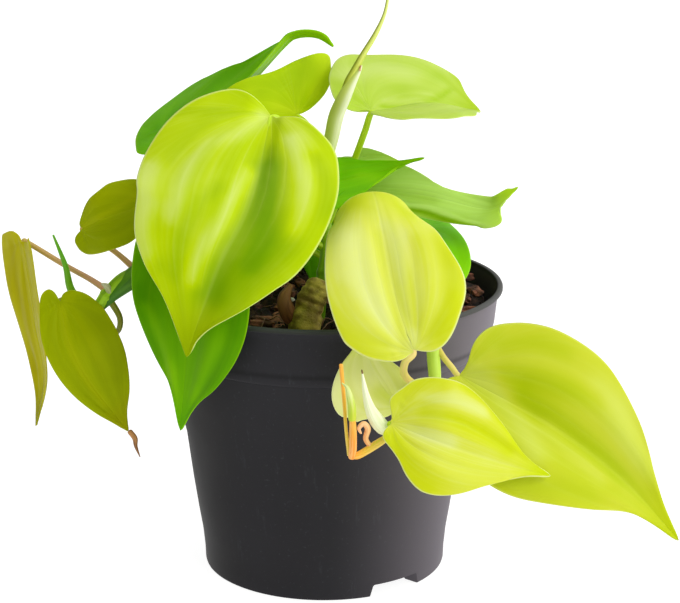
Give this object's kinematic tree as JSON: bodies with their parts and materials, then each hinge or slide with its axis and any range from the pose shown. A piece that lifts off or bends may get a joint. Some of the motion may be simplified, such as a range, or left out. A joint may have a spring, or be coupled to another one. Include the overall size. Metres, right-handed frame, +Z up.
{
  "type": "potted philodendron",
  "caption": "Lime-leaved heartleaf philodendron with arching stems and heart-shaped leaves, growing in dark soil in a round dark grey plastic nursery pot.",
  "frame": {"origin": "on the pot's axis, on the ground that the foot ring stands on", "axes": "+Z up along the pot's axis; +X to the viewer's right; -Y towards the viewer of the front, where the two largest leaves hang over the rim"},
  "size_m": [0.2214, 0.2109, 0.2001],
  "materials": {
    "lime": "satin leaf skin",
    "yellow": "satin leaf skin",
    "pale": "satin leaf skin",
    "green": "satin leaf skin",
    "olive": "satin leaf skin",
    "stem": "smooth green stem",
    "wood": "rough ring-scarred bark",
    "cream": "smooth, waxy",
    "dried": "dry, papery",
    "soil": "damp, crumbly",
    "pot": "matte moulded"
  },
  "bodies": {
    "root": {"pot": "pot", "soil": "soil", "stem_woody": "wood", "stem_tall": "stem", "stem_right": "stem", "stem_left": "stem", "new_leaf": "cream", "bud_left": "stem", "stalk_dried": "dried", "sheath_cream": "cream", "leaf_front_large": "lime", "leaf_top_middle": "lime", "leaf_top_left": "green", "leaf_top_right": "pale", "leaf_middle_dark": "green", "leaf_middle_right": "pale", "leaf_front_middle": "yellow", "leaf_behind_middle": "green", "leaf_front_small": "pale", "leaf_front_low": "yellow", "leaf_right_large": "lime", "leaf_left_edge": "olive", "leaf_left": "olive", "leaf_left_upper": "olive", "leaf_front_left": "green", "leaf_centre_low": "green", "leaf_centre_high": "pale", "leaf_back_high": "lime", "leaf_back_left": "green", "leaf_back_right": "lime", "leaf_back_low": "pale"}
  },
  "joints": []
}
